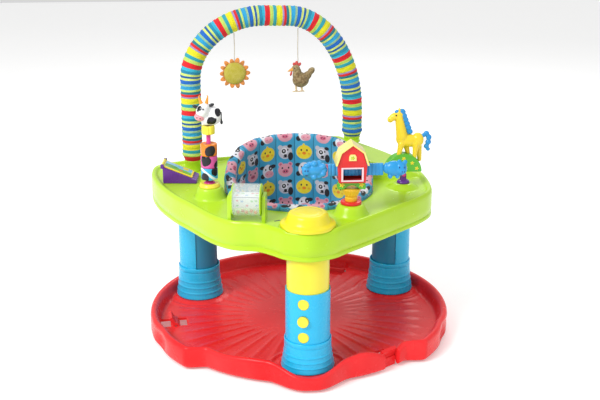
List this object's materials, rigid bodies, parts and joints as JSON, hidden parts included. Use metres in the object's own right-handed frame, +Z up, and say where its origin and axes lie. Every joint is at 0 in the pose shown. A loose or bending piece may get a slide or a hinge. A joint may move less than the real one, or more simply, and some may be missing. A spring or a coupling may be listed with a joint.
{
  "type": "activity jumper",
  "caption": "Baby activity jumper: turning cloth seat in a sprung play tray on telescoping legs over a saucer base, with an arched toy bar and standing farm toys.",
  "frame": {"origin": "on the floor under the middle of the base, on the axis of the circle through the three legs", "axes": "+Z up; the front leg stands towards -Y; +X to the right of someone who faces the front leg"},
  "size_m": [0.716, 0.7209, 0.7464],
  "materials": {
    "red_shell": "gloss",
    "pad_rubber": "matte",
    "cyan_leg": "gloss",
    "deep_cyan": "gloss",
    "lemon": "gloss",
    "lime_tray": "gloss",
    "seat_plastic": "satin",
    "seat_cloth": "printed cotton",
    "bar_cloth": "striped plush",
    "spring_steel": "satin",
    "screw_steel": "satin",
    "felt": "felt",
    "hen_plush": "plush",
    "string": "twisted cord",
    "magenta": "gloss",
    "roller_blue": "gloss",
    "roller_pink": "gloss",
    "roller_orange": "gloss",
    "cow_white": "gloss",
    "barn_red": "gloss",
    "straw": "gloss",
    "grass": "gloss",
    "cream": "gloss",
    "slider_blue": "gloss",
    "horse_yellow": "gloss",
    "purple": "gloss",
    "clear": "clear plastic",
    "panel_white": "gloss",
    "bead_orange": "gloss"
  },
  "bodies": {
    "base": {"base_saucer": "red_shell", "base_pad": "pad_rubber", "foot_screws": "screw_steel", "stabiliser_pins": "screw_steel", "front_foot_cup": "cyan_leg", "right_foot_cup": "cyan_leg", "left_foot_cup": "cyan_leg", "leg_springs": "spring_steel"},
    "right_stabiliser": {"right_stabiliser": "red_shell"},
    "back_stabiliser": {"back_stabiliser": "red_shell"},
    "left_stabiliser": {"left_stabiliser": "red_shell"},
    "sprung_sleeves": {"front_sleeve": "cyan_leg", "right_sleeve": "deep_cyan", "left_sleeve": "deep_cyan"},
    "height_button": {"height_button": "lemon"},
    "tray": {"tray_shell": "lime_tray", "front_tube": "lemon", "right_tube": "deep_cyan", "left_tube": "deep_cyan", "right_leg_shell": "cyan_leg", "left_leg_shell": "cyan_leg", "leg_cap": "lemon", "tray_screws": "screw_steel", "bar_sockets": "lime_tray", "toy_bar_tube": "panel_white", "toy_bar_sleeve": "bar_cloth", "totem_base": "lemon", "totem_shaft": "magenta", "toy_axles": "screw_steel", "horse_base": "purple", "book_stand": "purple", "barn_ring": "barn_red", "barn_sheaf": "straw", "barn_arch": "grass", "barn_house": "barn_red", "barn_roof": "cream", "barn_trim": "cream"},
    "seat": {"seat_ring": "seat_plastic", "seat_back": "seat_plastic", "seat_fabric": "seat_cloth"},
    "drum": {"drum_shell": "clear", "drum_caps": "lime_tray", "drum_core": "panel_white", "drum_beads": "bead_orange"},
    "low_roller": {"totem_low_roller": "roller_blue"},
    "middle_roller": {"totem_middle_roller": "roller_pink"},
    "top_roller": {"totem_top_roller": "roller_orange"},
    "cow": {"cow_collar": "lemon", "cow_figure": "cow_white"},
    "barn_slider": {"slider_bar": "slider_blue", "slider_sheep": "slider_blue", "slider_pig": "slider_blue"},
    "rocking_horse": {"horse_hill": "grass", "horse_figure": "horse_yellow"},
    "book_page": {"book_page": "grass"},
    "sun": {"sun_string": "string", "sun_face": "felt", "sun_petals": "felt"},
    "hen": {"hen_string": "string", "hen_figure": "hen_plush"}
  },
  "joints": [
    {"name": "right_stabiliser_flip", "type": "hinge", "parent": "base", "child": "right_stabiliser", "pos_m": [0.17634, -0.24271, 0.024], "axis": [0.809, 0.5878, 0], "range_deg": [0, 85]},
    {"name": "back_stabiliser_flip", "type": "hinge", "parent": "base", "child": "back_stabiliser", "pos_m": [0.12202, 0.27406, 0.024], "axis": [-0.9135, 0.4067, 0], "range_deg": [0, 85]},
    {"name": "left_stabiliser_flip", "type": "hinge", "parent": "base", "child": "left_stabiliser", "pos_m": [-0.29836, -0.03136, 0.024], "axis": [0.1045, -0.9945, 0], "range_deg": [0, 85]},
    {"name": "bounce", "type": "slide", "parent": "base", "child": "sprung_sleeves", "axis": [0, 0, 1], "range_m": [-0.012, 0], "stiffness_N_per_m": 9000, "springref_m": 0.008, "deforming": ["leg_springs"]},
    {"name": "button_press", "type": "slide", "parent": "sprung_sleeves", "child": "height_button", "axis": [-0.2756, -0.9613, 0], "range_m": [-0.003, 0], "stiffness_N_per_m": 800, "springref_m": 0.001},
    {"name": "tray_height", "type": "slide", "parent": "sprung_sleeves", "child": "tray", "axis": [0, 0, 1], "range_m": [-0.038, 0.038]},
    {"name": "seat_swivel", "type": "hinge", "parent": "tray", "child": "seat", "pos_m": [0, 0, 0.345], "axis": [0, 0, 1], "continuous": true},
    {"name": "drum_spin", "type": "hinge", "parent": "tray", "child": "drum", "pos_m": [-0.125, -0.215, 0.39], "axis": [0.989, -0.1478, 0], "continuous": true},
    {"name": "low_roller_spin", "type": "hinge", "parent": "tray", "child": "low_roller", "pos_m": [-0.207, -0.055, 0.43], "axis": [0, 0, 1], "continuous": true},
    {"name": "middle_roller_spin", "type": "hinge", "parent": "tray", "child": "middle_roller", "pos_m": [-0.207, -0.055, 0.43], "axis": [0, 0, 1], "continuous": true},
    {"name": "top_roller_spin", "type": "hinge", "parent": "tray", "child": "top_roller", "pos_m": [-0.207, -0.055, 0.43], "axis": [0, 0, 1], "continuous": true},
    {"name": "cow_turn", "type": "hinge", "parent": "tray", "child": "cow", "pos_m": [-0.207, -0.055, 0.5], "axis": [0, 0, 1], "continuous": true},
    {"name": "barn_slide", "type": "slide", "parent": "tray", "child": "barn_slider", "axis": [1, 0, 0], "range_m": [-0.029, 0.016]},
    {"name": "horse_rock", "type": "hinge", "parent": "tray", "child": "rocking_horse", "pos_m": [0.245, -0.009, 0.378], "axis": [0, 1, 0], "range_deg": [-14, 14], "stiffness_Nm_per_rad": 1.5},
    {"name": "page_turn", "type": "hinge", "parent": "tray", "child": "book_page", "pos_m": [-0.318, 0.08809, 0.389], "axis": [0.0872, 0.9962, 0], "range_deg": [-140, 0]},
    {"name": "sun_swing", "type": "hinge", "parent": "tray", "child": "sun", "pos_m": [-0.14362, 0.18154, 0.68197], "axis": [0.9943, 0.1069, 0], "range_deg": [-35, 35]},
    {"name": "hen_swing", "type": "hinge", "parent": "tray", "child": "hen", "pos_m": [0.01149, 0.19822, 0.68898], "axis": [0.9943, 0.1069, 0], "range_deg": [-35, 35]}
  ]
}
